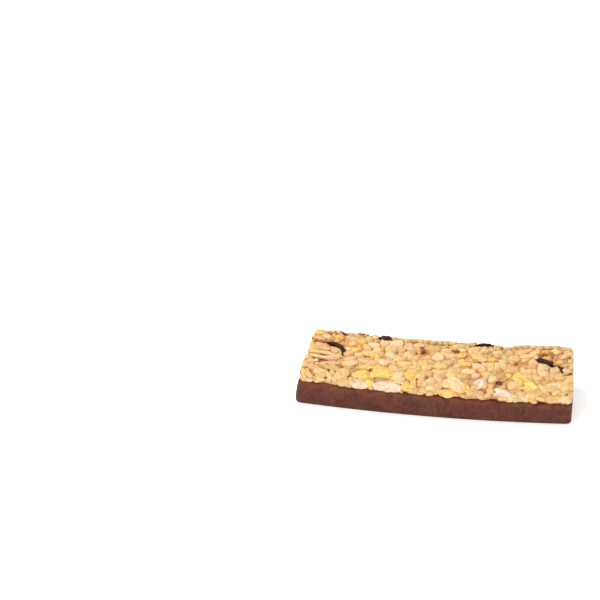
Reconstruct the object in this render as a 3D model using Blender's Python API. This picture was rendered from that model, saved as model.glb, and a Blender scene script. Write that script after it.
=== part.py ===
"""A granola bar: crisped rice and flakes, pressed with fruit onto a layer of milk chocolate, and cut to a bar.

The pieces are first made straight, in metres: x runs along the bar, y from the front side to the back, and
z up from the surface that the chocolate lies on. At the end all of them are bent a little in plan together.
"""

import math

import bmesh
import bpy
import numpy as np
from mathutils import Euler, Matrix, Vector

MM = 0.001

# The whole bar
LENGTH = 100 * MM
WIDTH = 33.5 * MM
BOW = 3.0 * MM  # the middle stands this far in front of the ends
LEFT_LEAN = 1.9 * MM  # the left end's cut leans in by this at the top
GAP = 0.3 * MM  # between pieces that touch

# The layer of chocolate, a little thicker at the left end
CHOCOLATE_LEFT = 9.3 * MM
CHOCOLATE_RIGHT = 8.2 * MM
CHOCOLATE_CORNER = 1.9 * MM  # in plan
RAGGED = 0.45 * MM  # how far its upper rim wanders up and down, where grains bite into it
RIM_WIDTH = 1.0 * MM  # how far in from the sides it does so
FOOT_ROUND = 1.2 * MM  # the rounding along the bottom edge

# The granola above it: a binding mass, and grains that stand out of it
CROWN = 13.9 * MM  # the height of the binding mass
HIGHEST = 15.8 * MM  # the tops of the highest grains
LUMPS = 0.45 * MM  # how far the surface of the binding mass wanders in and out
LUMPS_SEED = 5
SIDE_INSET = 1.2 * MM  # the binding mass lies this far inside the cut sides
SHOULDER = 1.9 * MM  # the rounding along its top edge
GRANOLA_CORNER = 2.2 * MM

# Grains: how many, half lengths along their three axes, and how near their centres may be
GRAIN_SIZES = (
    {"count": 125, "half": (2.8 * MM, 2.0 * MM, 1.7 * MM), "apart": 4.7 * MM},
    {"count": 120, "half": (2.3 * MM, 1.75 * MM, 1.5 * MM), "apart": 3.7 * MM},
    {"count": 45, "half": (1.7 * MM, 1.4 * MM, 1.2 * MM), "apart": 3.0 * MM},
)
GRAIN_SEED = 11
GRAIN_TRIES = 5000
GRAIN_SEGMENTS, GRAIN_RINGS = 5, 4
SUNK = 0.75  # how deep a grain's centre lies under a cut side, as a share of half its height
SHORTENED = (1, 0.62)  # a grain that would cross a piece of fruit is tried again at the second size
KEPT_FACES = 0.62  # the share of faces kept once the grains are joined

# Fruit and yoghurt pieces as large as berries: centre, half lengths, turn about z, pitch about y, and how
# far the middle of a curved sliver stands off its chord, all in millimetres and degrees
FRUIT = {
    "dark_berry_1": ((-38.9, 2.1, 14.75), (6.3, 1.25, 1.0), -38, 0, 3.1),
    "dark_berry_2": ((-20.4, 14.6, 14.5), (2.7, 1.8, 1.1), 10, 0, 0.3),
    "dark_berry_3": ((16.4, 15.2, 14.2), (3.7, 1.1, 1.2), 14, 0, 0.5),
    "dark_berry_4": ((39.4, 3.4, 14.9), (4.2, 1.7, 1.0), -38, 0, -0.6),
    "dark_berry_5": ((45.0, -2.2, 14.6), (2.7, 0.95, 1.0), -62, 0, 0.7),
    "mango_piece_1": ((-18.0, -13.4, 14.4), (4.9, 3.5, 1.25), 4, 0, 0),
    "mango_piece_2": ((31.6, -12.4, 14.3), (5.9, 2.3, 1.4), -60, 6, -0.5),
    "yoghurt_chip_1": ((-26.6, -15.6, 11.0), (3.1, 1.9, 1.45), 0, 0, 0),
    "yoghurt_chip_2": ((-15.6, -15.2, 11.0), (5.6, 2.4, 1.8), 0, 2, 0),
    "yoghurt_chip_3": ((25.0, -15.2, 12.2), (4.6, 2.3, 1.6), 0, 10, 0),
    "yoghurt_chip_4": ((17.2, -14.4, 14.3), (3.1, 2.1, 1.2), 8, 0, 0),
}
DENT = 0.06  # how far a piece departs from an ellipsoid


def smooth_step(value):
    value = np.clip(value, 0, 1)
    return value * value * (3 - 2 * value)


def ripple(x, y, lengths, shift=0.0):
    """A gentle unevenness from -1 to 1: crossed waves of these lengths in metres, each turned a little more."""
    total = 0
    for number, length in enumerate(lengths):
        turn = 0.7 + 1.9 * number + shift
        along = x * math.cos(turn) + y * math.sin(turn)
        total = total + np.sin(2 * math.pi * along / length + 2.3 * number + shift)
    return total / len(lengths)


def chocolate_top(x, y):
    """The height of the chocolate under the granola: a plane that falls to the right, and a ragged rim."""
    level = CHOCOLATE_LEFT + (CHOCOLATE_RIGHT - CHOCOLATE_LEFT) * (x / LENGTH + 0.5)
    from_side = min(LENGTH / 2 - abs(x), WIDTH / 2 - abs(y))
    rim = 1 - smooth_step((from_side - GAP) / (RIM_WIDTH - GAP))
    return level + RAGGED * rim * ripple(x, y, (23 * MM, 9 * MM, 5.5 * MM))


def crown(x, y):
    """The height of the binding mass, with the low waves that pressing leaves."""
    return CROWN + 0.35 * MM * ripple(x, y, (46 * MM, 21 * MM, 8 * MM), 0.8)


def end_of_bar(side, z):
    """The x of the cut end at a height: the left cut leans, the right one is upright."""
    lean = LEFT_LEAN * smooth_step(z / HIGHEST) if side < 0 else 0
    return side * (LENGTH / 2 - lean)


def rounded(x, y, half_length, half_width, radius):
    """Moves a point of a rectangle so that its corners become quarter circles of this radius."""
    over_x = max(abs(x) - (half_length - radius), 0)
    over_y = max(abs(y) - (half_width - radius), 0)
    if over_x == 0 or over_y == 0:
        return x, y
    shrink = max(over_x, over_y) / math.hypot(over_x, over_y)
    return (
        math.copysign(half_length - radius + over_x * shrink, x),
        math.copysign(half_width - radius + over_y * shrink, y),
    )


def spaced(count, corner):
    """Places from -1 to 1 for the rows of a grid: three close ones in each corner and even ones between."""
    steps = np.array([0, 0.3, 0.65]) * corner
    middle = np.linspace(-1 + corner, 1 - corner, count - 2 * len(steps))
    return np.concatenate([-1 + steps, middle, 1 - steps[::-1]])


def material(name, colour, roughness):
    made = bpy.data.materials.new(name)
    made.use_nodes = True
    shader = made.node_tree.nodes["Principled BSDF"]
    shader.inputs["Base Color"].default_value = (*colour, 1)
    shader.inputs["Roughness"].default_value = roughness
    shader.inputs["Metallic"].default_value = 0
    return made


def new_object(name, bm, finish=None, collection=None):
    mesh = bpy.data.meshes.new(name)
    bm.to_mesh(mesh)
    bm.free()
    if finish:
        mesh.materials.append(finish)
    made = bpy.data.objects.new(name, mesh)
    (collection or bpy.context.scene.collection).objects.link(made)
    return made


def slab(name, columns, rows, corner, layers, finish, plain_top=False):
    """A closed slab from a grid that is extruded upwards once for each further layer.

    A layer is how far its rim lies inside the bar, and a function that gives its height at a point. The
    underside is a plane, and so is the top if plain_top says so: each becomes one face.
    """
    bm = bmesh.new()
    bmesh.ops.create_grid(bm, x_segments=columns - 1, y_segments=rows - 1, size=1)
    floor = list(bm.faces)
    faces = floor
    for _ in layers[1:]:
        made = bmesh.ops.extrude_face_region(bm, geom=faces)["geom"]
        if faces is not floor:
            bmesh.ops.delete(bm, geom=faces, context="FACES")
        faces = [item for item in made if isinstance(item, bmesh.types.BMFace)]
        risen = [item for item in made if isinstance(item, bmesh.types.BMVert)]
        bmesh.ops.translate(bm, vec=(0, 0, 1), verts=risen)
    bmesh.ops.dissolve_faces(bm, faces=floor)
    if plain_top:
        bmesh.ops.dissolve_faces(bm, faces=faces)
    across = spaced(columns, corner / (LENGTH / 2))
    deep = spaced(rows, corner / (WIDTH / 2))
    for vertex in bm.verts:
        x = across[round((vertex.co.x + 1) / 2 * (columns - 1))]
        y = deep[round((vertex.co.y + 1) / 2 * (rows - 1))]
        inset, height = layers[round(vertex.co.z)]
        half_width = WIDTH / 2 - inset
        z = height(x * (LENGTH / 2 - inset), y * half_width)
        half_length = abs(end_of_bar(math.copysign(1, x), z)) - inset
        x, y = rounded(x * half_length, y * half_width, half_length, half_width, corner)
        vertex.co = (x, y, z)
    bmesh.ops.recalc_face_normals(bm, faces=bm.faces)
    return new_object(name, bm, finish)


def chocolate_layer(finish):
    """The solid layer: a flat underside with a rounded foot, slightly uneven sides and a ragged upper rim."""
    low, middle = 0.29 * FOOT_ROUND, 5.0 * MM

    def side(height, depth):
        return lambda x, y: height + depth * ripple(x, y, (17 * MM, 11 * MM))

    layers = [
        (FOOT_ROUND, side(0, 0)),
        (low, side(low, 0)),
        (0, side(FOOT_ROUND, 0)),
        (0.12 * MM, side(middle, 0.6 * MM)),
        (0, lambda x, y: chocolate_top(x, y) - GAP),
        (GAP, chocolate_top),
        (RIM_WIDTH, chocolate_top),
    ]
    return slab("chocolate_layer", 42, 16, CHOCOLATE_CORNER, layers, finish, plain_top=True)


def binding_mass(finish):
    """The bare core of the granola: it lies inside the cut sides, and its own surface is lumpy as well."""
    layers = [
        (SIDE_INSET + 0.5 * MM, lambda x, y: chocolate_top(x, y) + GAP),
        (SIDE_INSET, lambda x, y: chocolate_top(x, y) + 2 * GAP),
        (SIDE_INSET, lambda x, y: crown(x, y) - SHOULDER),
        (SIDE_INSET + 0.3 * SHOULDER, lambda x, y: crown(x, y) - 0.3 * SHOULDER),
        (SIDE_INSET + SHOULDER, crown),
    ]
    mass = slab("granola", 34, 13, GRANOLA_CORNER, layers, finish)
    draw = np.random.default_rng(LUMPS_SEED)
    for vertex in mass.data.vertices:
        if vertex.co.z > CHOCOLATE_LEFT + RAGGED + 2 * GAP:
            vertex.co += vertex.normal * draw.uniform(-LUMPS, LUMPS)
    return mass


def within_bar(point, margin, floor_margin, top):
    """The point moved inside the cut sides, above the chocolate and under the pressed top."""
    x, y, z = point
    z = min(max(z, chocolate_top(x, y) + GAP + floor_margin), top)
    half_width = WIDTH / 2 - margin
    y = min(max(y, -half_width), half_width)
    x = min(max(x, end_of_bar(-1, z) + margin), end_of_bar(1, z) - margin)
    x, y = rounded(x, y, LENGTH / 2 - margin, half_width, GRANOLA_CORNER)
    return Vector((x, y, z))


def fruit_matrix(name):
    centre, _, turn, pitch, _ = FRUIT[name]
    angles = Euler((0, math.radians(pitch), math.radians(turn)))
    return Matrix.Translation(Vector(centre) * MM) @ angles.to_matrix().to_4x4()


def fruit_mesh(name, growth):
    """A rounded lump with a few dents, curved where its piece is a sliver. growth is added on every side."""
    _, half, _, _, curve = FRUIT[name]
    bm = bmesh.new()
    bmesh.ops.create_icosphere(bm, subdivisions=2, radius=1)
    for vertex in bm.verts:
        across = vertex.co.copy()
        dent = 1 + DENT * math.sin(5 * across.x + 3 * across.z + half[0]) * math.cos(4 * across.y)
        local = Vector([c * (h * MM * dent + growth) for c, h in zip(across, half)])
        local.y += curve * MM * (1 - across.x**2)
        vertex.co = fruit_matrix(name) @ local
    return bm


def fruit_piece(name, finish):
    bm = fruit_mesh(name, 0)
    for vertex in bm.verts:
        vertex.co = within_bar(vertex.co, 0.05 * MM, 0, HIGHEST)
    return new_object(name, bm, finish)


def surface_points(bm):
    """The vertices and the middles of the faces and edges, as an array."""
    points = [v.co for v in bm.verts] + [f.calc_center_median() for f in bm.faces]
    return np.array(points + [(e.verts[0].co + e.verts[1].co) / 2 for e in bm.edges])


def fruit_points():
    points = []
    for name in FRUIT:
        bm = fruit_mesh(name, 0)
        points.append(surface_points(bm))
        bm.free()
    return np.concatenate(points)


def crosses_fruit(bm, place, reach, fruit):
    """Whether a grain comes near the fruit: the fruit's points in its ellipsoid, or its points in theirs."""
    clear = 1.3 * GAP
    back = np.array(place.inverted())
    local = (fruit @ back[:3, :3].T + back[:3, 3]) / (reach + clear)
    if (np.square(local).sum(axis=1) < 1).any():
        return True
    points = surface_points(bm)
    for name, (_, half, _, _, curve) in FRUIT.items():
        back = np.array(fruit_matrix(name).inverted())
        local = points @ back[:3, :3].T + back[:3, 3]
        half = np.array(half) * MM
        local[:, 1] -= curve * MM * (1 - np.clip(local[:, 0] / half[0], -1, 1) ** 2)
        if (np.square(local / ((1 + DENT) * half + clear)).sum(axis=1) < 1).any():
            return True
    return False


def grain_sites(draw):
    """Centres spread over the top and the four cut sides, the largest grains first.

    Points are drawn on the unfolded skin of the granola, and one is kept where it is far enough from the others.
    """
    kept = []
    wall = CROWN - (CHOCOLATE_LEFT + CHOCOLATE_RIGHT) / 2
    for size in GRAIN_SIZES:
        found = 0
        near = SUNK * size["half"][2]
        for _ in range(GRAIN_TRIES):
            if found == size["count"]:
                break
            x = draw.uniform(-LENGTH / 2, LENGTH / 2)
            y = draw.uniform(-WIDTH / 2 - wall, WIDTH / 2 + wall)
            if abs(y) < WIDTH / 2 and draw.uniform() < wall / (LENGTH / 2):
                x = math.copysign(LENGTH / 2 + draw.uniform(0, wall), x)
            on_end = abs(x) > LENGTH / 2
            on_side = abs(y) > WIDTH / 2
            down = max(abs(y) - WIDTH / 2, abs(x) - LENGTH / 2, 0)
            x = max(min(x, LENGTH / 2 - near), near - LENGTH / 2)
            y = max(min(y, WIDTH / 2 - near), near - WIDTH / 2)
            z = min(crown(x, y) - down, HIGHEST - near)
            x = max(min(x, end_of_bar(1, z) - near), end_of_bar(-1, z) + near)
            centre = Vector((x, y, z))
            if all((centre - other).length > size["apart"] for other, *_ in kept):
                kept.append((centre, np.array(size["half"]), on_end, on_side))
                found += 1
    return kept


def grain(centre, half, on_end, on_side, draw, fruit, collection):
    """One low-poly grain, along the cut where it shows on one. It is left out where it would cross the fruit."""
    yaw = draw.uniform(0, math.pi)
    if on_end or on_side:
        yaw = draw.normal(0, 0.6) + on_end * math.pi / 2
    angles = Euler((*draw.normal(0, 0.28, 2), yaw))
    place = Matrix.Translation(centre) @ angles.to_matrix().to_4x4()
    uneven = draw.uniform(0.86, 1.14, 3)
    margin, floor_margin = draw.uniform(0.05, 0.35, 2) * MM
    top = HIGHEST - draw.uniform(0, 0.5) * MM
    for share in SHORTENED:
        reach = half * uneven * share
        bm = bmesh.new()
        bmesh.ops.create_uvsphere(bm, u_segments=GRAIN_SEGMENTS, v_segments=GRAIN_RINGS, radius=1)
        bmesh.ops.rotate(bm, verts=bm.verts, matrix=Matrix.Rotation(math.pi / 2, 3, "Y"))
        for vertex in bm.verts:
            local = Vector(np.array(vertex.co) * reach * draw.uniform(0.93, 1.07))
            vertex.co = within_bar(place @ local, margin, floor_margin, top)
        if not crosses_fruit(bm, place, 1.07 * reach, fruit):
            new_object("grain", bm, None, collection)
            return
        bm.free()


def apply_modifiers(piece):
    graph = bpy.context.evaluated_depsgraph_get()
    piece.data = bpy.data.meshes.new_from_object(piece.evaluated_get(graph))
    piece.modifiers.clear()


def combine(piece, collection, operation, solver):
    """Joins or cuts the piece with everything in the collection, and removes the collection's objects."""
    boolean = piece.modifiers.new(operation.lower(), "BOOLEAN")
    boolean.operation = operation
    boolean.operand_type = "COLLECTION"
    boolean.collection = collection
    boolean.solver = solver
    apply_modifiers(piece)
    for used in list(collection.objects):
        bpy.data.objects.remove(used)
    bpy.data.collections.remove(collection)


def thin_out(piece, share):
    """Collapses the least important edges, such as the slivers that joining leaves, to this share of the faces."""
    decimate = piece.modifiers.new("thin_out", "DECIMATE")
    decimate.decimate_type = "COLLAPSE"
    decimate.ratio = share
    decimate.use_collapse_triangulate = True
    apply_modifiers(piece)


def drop_scraps(piece):
    """Keeps the largest connected body of the mesh and drops the rest."""
    bm = bmesh.new()
    bm.from_mesh(piece.data)
    bmesh.ops.triangulate(bm, faces=bm.faces)
    left, bodies = set(bm.verts), []
    while left:
        body, edge = set(), [left.pop()]
        while edge:
            vertex = edge.pop()
            body.add(vertex)
            near = {e.other_vert(vertex) for e in vertex.link_edges} & left
            left -= near
            edge.extend(near)
        bodies.append(body)
    bodies.sort(key=len)
    for body in bodies[:-1]:
        bmesh.ops.delete(bm, geom=list(body), context="VERTS")
    bm.to_mesh(piece.data)
    bm.free()


def new_collection(name):
    made = bpy.data.collections.new(name)
    bpy.context.scene.collection.children.link(made)
    return made


def granola(finish):
    """The binding mass with seats cut for the fruit, and the grains fused on."""
    mass = binding_mass(finish)
    seats = new_collection("seats")
    for name in FRUIT:
        new_object(name + "_seat", fruit_mesh(name, GAP), None, seats)
    combine(mass, seats, "DIFFERENCE", "EXACT")
    grains = new_collection("grains")
    draw = np.random.default_rng(GRAIN_SEED)
    fruit = fruit_points()
    for site in grain_sites(draw):
        grain(*site, draw, fruit, grains)
    combine(mass, grains, "UNION", "MANIFOLD")
    drop_scraps(mass)
    thin_out(mass, KEPT_FACES)
    return mass


def bend_and_centre(pieces):
    """Bends every piece in plan, and moves them all so that the bar's box is centred over the origin."""
    corners = []
    for piece in pieces:
        points = np.array([v.co for v in piece.data.vertices])
        points[:, 1] += BOW * (2 * points[:, 0] / LENGTH) ** 2
        piece.data.vertices.foreach_set("co", points.astype(np.float32).ravel())
        corners += [points.min(axis=0), points.max(axis=0)]
    low, high = np.min(corners, axis=0), np.max(corners, axis=0)
    middle = Vector(((low[0] + high[0]) / 2, (low[1] + high[1]) / 2, 0))
    for piece in pieces:
        piece.data.transform(Matrix.Translation(-middle))


def main():
    for old in list(bpy.data.objects):
        bpy.data.objects.remove(old)
    chocolate = material("milk_chocolate", (0.155, 0.055, 0.036), 0.45)
    golden = material("crisped_grain", (0.80, 0.50, 0.23), 0.6)
    finishes = {
        "dark_berry": material("dried_berry", (0.05, 0.012, 0.014), 0.3),
        "mango_piece": material("dried_mango", (0.93, 0.60, 0.12), 0.4),
        "yoghurt_chip": material("yoghurt", (0.88, 0.74, 0.60), 0.5),
    }
    pieces = [chocolate_layer(chocolate), granola(golden)]
    pieces += [fruit_piece(name, finishes[name.rsplit("_", 1)[0]]) for name in FRUIT]
    bend_and_centre(pieces)
    for piece in pieces:
        piece.data.shade_smooth()
        piece.data.set_sharp_from_angle(angle=math.radians(50))


main()
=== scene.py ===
import math

import bpy
import numpy as np
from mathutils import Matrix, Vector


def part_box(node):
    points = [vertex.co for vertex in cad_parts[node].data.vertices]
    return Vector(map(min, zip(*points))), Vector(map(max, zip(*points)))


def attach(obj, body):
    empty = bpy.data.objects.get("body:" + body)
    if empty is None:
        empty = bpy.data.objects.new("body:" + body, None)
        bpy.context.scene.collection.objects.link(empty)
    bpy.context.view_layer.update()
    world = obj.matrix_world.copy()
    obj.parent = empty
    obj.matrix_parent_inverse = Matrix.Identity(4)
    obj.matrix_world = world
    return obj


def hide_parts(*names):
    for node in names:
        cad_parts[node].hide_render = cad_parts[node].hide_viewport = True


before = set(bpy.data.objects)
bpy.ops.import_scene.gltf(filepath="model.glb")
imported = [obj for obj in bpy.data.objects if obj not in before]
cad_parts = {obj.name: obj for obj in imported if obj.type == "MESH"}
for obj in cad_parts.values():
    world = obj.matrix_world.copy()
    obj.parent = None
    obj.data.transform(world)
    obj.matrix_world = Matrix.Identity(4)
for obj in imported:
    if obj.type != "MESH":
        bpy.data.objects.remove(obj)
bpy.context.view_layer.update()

# The view. The bar lies a little turned, and is seen from in front and above through a long lens, so that
# its front side and its top show.
MM = 0.001
CAMERA_PLACE = (33.38 * MM, -476.73 * MM, 241.17 * MM)
LOOKS_DOWN = math.radians(23.1)
TURNED = math.radians(10.0)
LENS = 85.98  # in millimetres, as is the sensor
SENSOR = 36
NEAREST = 10 * MM

lens = bpy.data.cameras.new("catalogue_view")
lens.lens = LENS
lens.sensor_width = SENSOR
lens.clip_start = NEAREST
camera = bpy.data.objects.new("catalogue_view", lens)
camera.location = CAMERA_PLACE
camera.rotation_euler = (math.pi / 2 - LOOKS_DOWN, 0, TURNED)
bpy.context.scene.collection.objects.link(camera)
bpy.context.scene.camera = camera
bpy.context.scene.view_settings.view_transform = "Standard"

# The light and the floor. A white tent gives soft light from all round, less from its roof, with a wide lamp
# above and a weaker one in front, both on the left. The floor is a plain white board that glows a little, so
# that shadows stay faint.
TENT_WALL = 1.0
TENT_ROOF = 0.56
ROOF_STARTS = 0.4  # the height, as a share of the way up, from which the tent is as dim as its roof
LAMPS = (
    {"name": "lamp_above", "place": (-0.42, 0.25, 0.8), "size": 0.32, "power": 4.7},
    {"name": "lamp_in_front", "place": (-0.35, -0.8, 0.6), "size": 0.4, "power": 3.7},
)
BOARD_WHITE = (0.9, 0.9, 0.9, 1)
BOARD_ROUGHNESS = 0.9
BOARD_GLOW = 0.5
FLOOR_SIZE = 6.0
FLOOR_DROP = 0.02 * MM  # under the bar's foot, so that the two faces don't coincide

tent = bpy.data.worlds.new("white_tent")
tent.use_nodes = True
backdrop = tent.node_tree.nodes["Background"]
backdrop.inputs["Color"].default_value = (1, 1, 1, 1)
way = tent.node_tree.nodes.new("ShaderNodeTexCoord")
rise = tent.node_tree.nodes.new("ShaderNodeSeparateXYZ")
fade = tent.node_tree.nodes.new("ShaderNodeMapRange")
fade.inputs["From Max"].default_value = ROOF_STARTS
fade.inputs["To Min"].default_value = TENT_WALL
fade.inputs["To Max"].default_value = TENT_ROOF
tent.node_tree.links.new(way.outputs["Generated"], rise.inputs["Vector"])
tent.node_tree.links.new(rise.outputs["Z"], fade.inputs["Value"])
tent.node_tree.links.new(fade.outputs["Result"], backdrop.inputs["Strength"])
bpy.context.scene.world = tent
for lamp in LAMPS:
    x, y, z = lamp["place"]
    light = bpy.data.lights.new(lamp["name"], "AREA")
    light.shape = "DISK"
    light.size = lamp["size"]
    light.energy = lamp["power"]
    stand = bpy.data.objects.new(lamp["name"], light)
    stand.location = lamp["place"]
    stand.rotation_euler = (math.atan2(math.hypot(x, y), z), 0, math.atan2(y, x) + math.pi / 2)
    bpy.context.scene.collection.objects.link(stand)

board = bpy.data.meshes.new("floor")
far = FLOOR_SIZE / 2
corners = [(x * far, y * far, -FLOOR_DROP) for x, y in ((-1, -1), (1, -1), (1, 1), (-1, 1))]
board.from_pydata(corners, [], [(0, 1, 2, 3)])
board_finish = bpy.data.materials.new("white_board")
board_finish.use_nodes = True
board_shader = board_finish.node_tree.nodes["Principled BSDF"]
board_shader.inputs["Base Color"].default_value = BOARD_WHITE
board_shader.inputs["Roughness"].default_value = BOARD_ROUGHNESS
board_shader.inputs["Emission Color"].default_value = (1, 1, 1, 1)
board_shader.inputs["Emission Strength"].default_value = BOARD_GLOW
board.materials.append(board_finish)
floor = bpy.data.objects.new("floor", board)
bpy.context.scene.collection.objects.link(floor)

# The layer of milk chocolate. It is poured onto the pressed granola, sets hard and is cut together with it.
# Its sides are flat with soft upright marks from the blade, its foot is rounded by the belt that it lay on,
# and its upper rim is ragged where grains bite into it and hang over it.
LENGTH = 100 * MM
WIDTH = 33.5 * MM
HIGHEST = 15.8 * MM
BOW = 3.0 * MM
LEFT_LEAN = 1.9 * MM
CHOCOLATE_LEFT = 9.3 * MM
CHOCOLATE_RIGHT = 8.2 * MM
CHOCOLATE_CORNER = 1.9 * MM
FOOT_ROUND = 1.2 * MM
RAGGED = 0.45 * MM
RAGGED_WAVES = (23 * MM, 9 * MM, 5.5 * MM)
RAGGED_EDGE = (0.3 * MM, 0.7 * MM)  # how far in it is full, and the width over which it then fades
RIM_DROP = 0.65 * MM  # how far grains hang over the rim on average, and half as far at the left end
LEFT_END = (-33 * MM, 8 * MM)  # where it starts, and the width over which it comes in
RIM_RAGGED = 0.6 * MM
RIM_RIPPLES = (4.3 * MM, 2.9 * MM, 1.9 * MM)
TONGUES = ((3.3, 1.3, 1.0), (39.0, 0.9, 0.7), (-35.6, 1.2, 0.5), (-31.2, 0.8, 0.4))
TONGUE_DEPTH = 0.25  # how far a tongue stands out, as a share of its rise
SHELF_DROP = 0.1 * MM  # how far the chocolate under the granola lies below its plane
SHELF_EDGE = 1.1 * MM  # the shelf falls to the rim over this width
BLADE_MARKS = (7.3 * MM, 11.7 * MM)
DENTS = (6.1 * MM, 4.3 * MM, 2.9 * MM)
MARK_DEPTH = 0.05 * MM
NICKS = (13 * MM, 5.2 * MM, 3.1 * MM)
NICK_DEPTH = 0.25 * MM
CRUMBLED = 0.08 * MM  # how far the wall draws in at its rim
SKIN_SPACING = 0.5 * MM
chocolate_low, chocolate_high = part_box("chocolate_layer")
MIDDLE = np.array([LENGTH / 2 - chocolate_high.x, -WIDTH / 2 - chocolate_low.y, 0])


def smooth_step(value):
    """Three times the square of a value from 0 to 1, less twice its cube."""
    value = np.clip(value, 0, 1)
    return value * value * (3 - 2 * value)


def ripple(x, y, lengths, shift=0.0):
    """Crossed waves from -1 to 1 of these lengths, each turned by 1.9 radians more than the one before."""
    total = 0
    for number, length in enumerate(lengths):
        turn = 0.7 + 1.9 * number + shift
        along = x * math.cos(turn) + y * math.sin(turn)
        total = total + np.sin(2 * math.pi * along / length + 2.3 * number + shift)
    return total / len(lengths)


def chocolate_top(x, y):
    """A plane that falls from left to right, with a ripple that fades out 1 mm in from the sides."""
    level = CHOCOLATE_LEFT + (CHOCOLATE_RIGHT - CHOCOLATE_LEFT) * (x / LENGTH + 0.5)
    from_side = np.minimum(LENGTH / 2 - np.abs(x), WIDTH / 2 - np.abs(y))
    rim = 1 - smooth_step((from_side - RAGGED_EDGE[0]) / RAGGED_EDGE[1])
    return level + RAGGED * rim * ripple(x, y, RAGGED_WAVES)


def tongues(x, y):
    """Bell curves, by middle, spread and rise in millimetres, where chocolate has run up in front."""
    rise = sum(rise * MM * np.exp(-(((x / MM - middle) / spread) ** 2)) for middle, spread, rise in TONGUES)
    return np.where(y < 0, rise, 0)


def chocolate_rim(x, y):
    """The plane less the drop, half as large at the left end, with short ripples and the tongues."""
    drop = RIM_DROP * (1 - 0.5 * smooth_step((LEFT_END[0] - x) / LEFT_END[1]))
    return chocolate_top(x, y) - drop + RIM_RAGGED * ripple(x, y, RIM_RIPPLES, 0.5) + tongues(x, y)


def leaned(points, back=False):
    """The left half drawn in, so that its end leans by a smooth step of the height, or drawn out again."""
    x, y, z = np.moveaxis(points, -1, 0)
    share = np.where(x < 0, 1 - LEFT_LEAN * smooth_step(z / HIGHEST) / (LENGTH / 2), 1)
    return np.stack([x / share if back else x * share, y, z], -1)


def bent(points, back=False):
    """Points moved in y by the bow times (2x / length) squared, and then to the solids' place, or back."""
    points = points + MIDDLE if back else points
    bow = BOW * (2 * points[..., 0] / LENGTH) ** 2
    points = points + np.stack([0 * bow, -bow if back else bow, 0 * bow], -1)
    return points if back else points - MIDDLE


def unfolded(inset, radius, reach):
    """A grid laid over the bar's plan less an inset, with its margins hanging over the sides.

    For each point: its place on the inner rectangle, which is the plan less the corner's radius, the way
    outwards from there, and how far it is past that rectangle along the skin, up to reach. The last is the
    larger of its distances past two sides, so the way outwards goes through a right angle round a corner.
    """
    half = np.array([LENGTH, WIDTH]) / 2 - inset - radius
    columns, rows = (2 * (half + reach) / SKIN_SPACING).astype(int)
    x = np.linspace(-1, 1, columns) * (half[0] + reach)
    y = np.linspace(-1, 1, rows) * (half[1] + reach)
    x, y = np.meshgrid(x, y, indexing="ij")
    inner_x = np.clip(x, -half[0], half[0])
    inner_y = np.clip(y, -half[1], half[1])
    past = np.maximum(np.abs(x - inner_x), np.abs(y - inner_y))
    size = np.maximum(np.hypot(x - inner_x, y - inner_y), 1e-9)
    return inner_x, inner_y, (x - inner_x) / size, (y - inner_y) / size, past


def turned_edge(past, radius, rounding, reach):
    """A flat, a quarter circle and a wall, run through by the distance past the inner rectangle.

    Gives how far out the point is, how far it has come round the quarter circle in height, and its share of
    the wall from 0 to 1.
    """
    flat = radius - rounding
    turn = np.clip((past - flat) / rounding, 0, math.pi / 2)
    out = np.minimum(past, flat) + rounding * np.sin(turn)
    start = flat + rounding * math.pi / 2
    return out, rounding * (1 - np.cos(turn)), np.clip((past - start) / (reach - start), 0, 1)


def two_sheets(upper, lower):
    """Vertices and faces of a closed body from two grids of points, which share the upper one's border."""
    columns, rows = upper.shape[:2]
    above = np.arange(columns * rows).reshape(columns, rows)
    below = above.copy()
    below[1:-1, 1:-1] = columns * rows + np.arange((columns - 2) * (rows - 2)).reshape(columns - 2, rows - 2)
    squares = [
        np.stack([index[:-1, :-1], index[1:, :-1], index[1:, 1:], index[:-1, 1:]], -1).reshape(-1, 4)
        for index in (above, below)
    ]
    points = np.concatenate([upper.reshape(-1, 3), lower[1:-1, 1:-1].reshape(-1, 3)])
    return points, np.concatenate([squares[0], squares[1][:, ::-1]]).tolist()


def new_piece(name, points, faces, finish, slot, values=(), smoothing=0, lumps=()):
    """A smooth-shaded piece that rides on the bar, with an attribute for each named list of numbers.

    Lumps are the sizes and heights of clouds that lift and sink its surface once it is smoothed.
    """
    mesh = bpy.data.meshes.new(name)
    mesh.from_pydata(bent(points).tolist(), [], faces)
    mesh.materials.append(finish)
    mesh.shade_smooth()
    for label, numbers in dict(values).items():
        mesh.attributes.new(label, "FLOAT", "POINT").data.foreach_set("value", numbers.astype(np.float32))
    piece = bpy.data.objects.new(name, mesh)
    bpy.context.scene.collection.objects.link(piece)
    if smoothing:
        rounder = piece.modifiers.new("rounder", "SUBSURF")
        rounder.levels = rounder.render_levels = smoothing
    for size, height in lumps:
        clouds = bpy.data.textures.new("lumps", "CLOUDS")
        clouds.noise_scale = size
        clouds.noise_depth = 1
        lumpy = piece.modifiers.new("lumpy", "DISPLACE")
        lumpy.texture = clouds
        lumpy.texture_coords = "LOCAL"
        lumpy.strength = height
    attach(piece, "root")
    return piece


def srgb(red, green, blue):
    """A screen colour from 0 to 255 as the linear colour that a shader takes."""
    screen = np.array([red, green, blue]) / 255
    linear = np.where(screen <= 0.04045, screen / 12.92, ((screen + 0.055) / 1.055) ** 2.4)
    return (*linear.tolist(), 1.0)


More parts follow.
